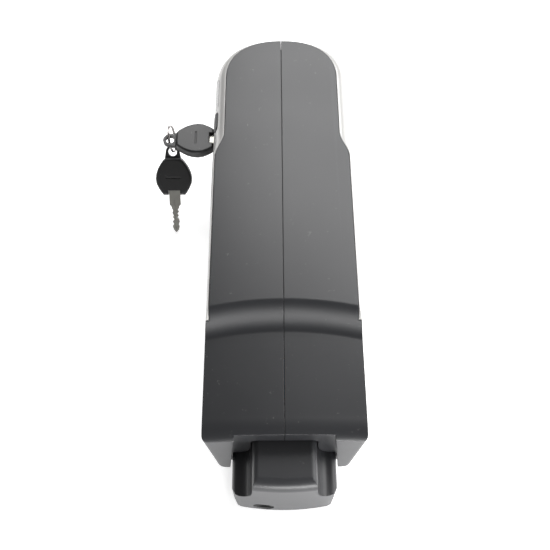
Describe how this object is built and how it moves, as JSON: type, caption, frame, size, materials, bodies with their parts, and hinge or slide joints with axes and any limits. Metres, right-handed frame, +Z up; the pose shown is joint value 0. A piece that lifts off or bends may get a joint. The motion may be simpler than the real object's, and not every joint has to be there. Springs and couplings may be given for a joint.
{
  "type": "bicycle battery pack",
  "caption": "Long down-tube battery pack with a stepped, round-ended case, silver side panels, a keyed lock and a docking rail with a connector nose.",
  "frame": {"origin": "on the underside of the dock rail, midway between its two frame screws", "axes": "+Z up from the dock to the top of the pack, +Y along the pack to its rounded end, +X to its right"},
  "size_m": [0.1508, 0.3394, 0.098],
  "materials": {
    "case_grey": "satin moulded, fine spark texture",
    "side_silver": "silver painted plastic, soft gloss",
    "dock_plastic": "satin moulded",
    "rail_black": "black anodised",
    "rubber": "matt",
    "screw_steel": "zinc plated",
    "key_steel": "stamped, slightly dull",
    "key_plastic": "black moulded",
    "ring_chrome": "bright wire",
    "lock_metal": "satin plated",
    "plug_brass": "machined",
    "contact_brass": "bright",
    "connector_black": "glass filled nylon",
    "cell_wrap": "shrink sleeve",
    "insulator_board": "fibre insulation board",
    "board_green": "solder mask",
    "heatsink_aluminium": "extruded",
    "fuse_body": "translucent",
    "lead_red": "silicone sleeve",
    "lead_black": "silicone sleeve",
    "window_smoke": "smoked lens",
    "button_grey": "soft touch"
  },
  "bodies": {
    "dock": {"dock_rail": "rail_black", "frame_screw_1": "screw_steel", "frame_screw_2": "screw_steel", "dock_nose": "dock_plastic", "dock_nose_floor": "dock_plastic", "nose_screw_1": "screw_steel", "nose_screw_2": "screw_steel", "cable_grommet": "rubber", "dock_connector": "connector_black", "dock_blade_1": "contact_brass", "dock_blade_2": "contact_brass", "dock_blade_3": "contact_brass", "dock_blade_4": "contact_brass"},
    "pack": {"left_shell": "case_grey", "right_shell": "case_grey", "left_side_panel": "side_silver", "right_side_panel": "side_silver", "seam_gasket": "rubber", "slide_channel": "dock_plastic", "channel_screw_1": "screw_steel", "channel_screw_2": "screw_steel", "channel_screw_3": "screw_steel", "channel_screw_4": "screw_steel", "channel_screw_5": "screw_steel", "channel_screw_6": "screw_steel", "cell_group_1": "cell_wrap", "cell_group_2": "cell_wrap", "cell_group_3": "cell_wrap", "cell_group_4": "cell_wrap", "cell_group_5": "cell_wrap", "cell_group_6": "cell_wrap", "cell_group_7": "cell_wrap", "cell_group_8": "cell_wrap", "cell_group_9": "cell_wrap", "cell_group_10": "cell_wrap", "left_insulator": "insulator_board", "right_insulator": "insulator_board", "bms_board": "board_green", "bms_heatsink": "heatsink_aluminium", "fuse_holder": "connector_black", "fuse": "fuse_body", "positive_lead": "lead_red", "negative_lead": "lead_black", "pack_connector": "connector_black", "lock_housing": "lock_metal", "gauge_window": "window_smoke", "gauge_board": "board_green", "charge_socket": "connector_black"},
    "lock_barrel": {"lock_plug": "plug_brass", "key_blade": "key_steel", "key_bow": "key_plastic"},
    "bolt": {"lock_bolt": "screw_steel"},
    "ring": {"key_ring": "ring_chrome"},
    "spare_key": {"spare_key_bow": "key_plastic", "spare_key_blade": "key_steel"},
    "button": {"power_button": "button_grey"},
    "flap": {"charge_cover": "rubber"}
  },
  "joints": [
    {"name": "pack_slide", "type": "slide", "parent": "dock", "child": "pack", "axis": [0, 1, 0], "range_m": [0, 0.04]},
    {"name": "key_turn", "type": "hinge", "parent": "pack", "child": "lock_barrel", "pos_m": [-0.05, 0.1054, 0.062], "axis": [1, 0, 0], "range_deg": [0, 90]},
    {"name": "bolt_travel", "type": "slide", "parent": "pack", "child": "bolt", "axis": [0, 0, -1], "range_m": [0, 0.0055]},
    {"name": "ring_swing", "type": "hinge", "parent": "lock_barrel", "child": "ring", "pos_m": [-0.0854, 0.1054, 0.062], "axis": [1, 0, 0], "range_deg": [0, 35]},
    {"name": "spare_key_swing", "type": "hinge", "parent": "ring", "child": "spare_key", "pos_m": [-0.0854, 0.10561, 0.04761], "axis": [1, 0, 0], "range_deg": [-35, 35]},
    {"name": "button_press", "type": "slide", "parent": "pack", "child": "button", "axis": [0.9539, 0, -0.3002], "range_m": [0, 0.0008], "stiffness_N_per_m": 400},
    {"name": "flap_swing", "type": "hinge", "parent": "pack", "child": "flap", "pos_m": [0.0496, -0.0868, 0.034], "axis": [0, 0, 1], "range_deg": [0, 110]}
  ],
  "couplings": [
    {"joint": "bolt_travel", "follows": "key_turn", "m_per_rad": 0.0035}
  ]
}
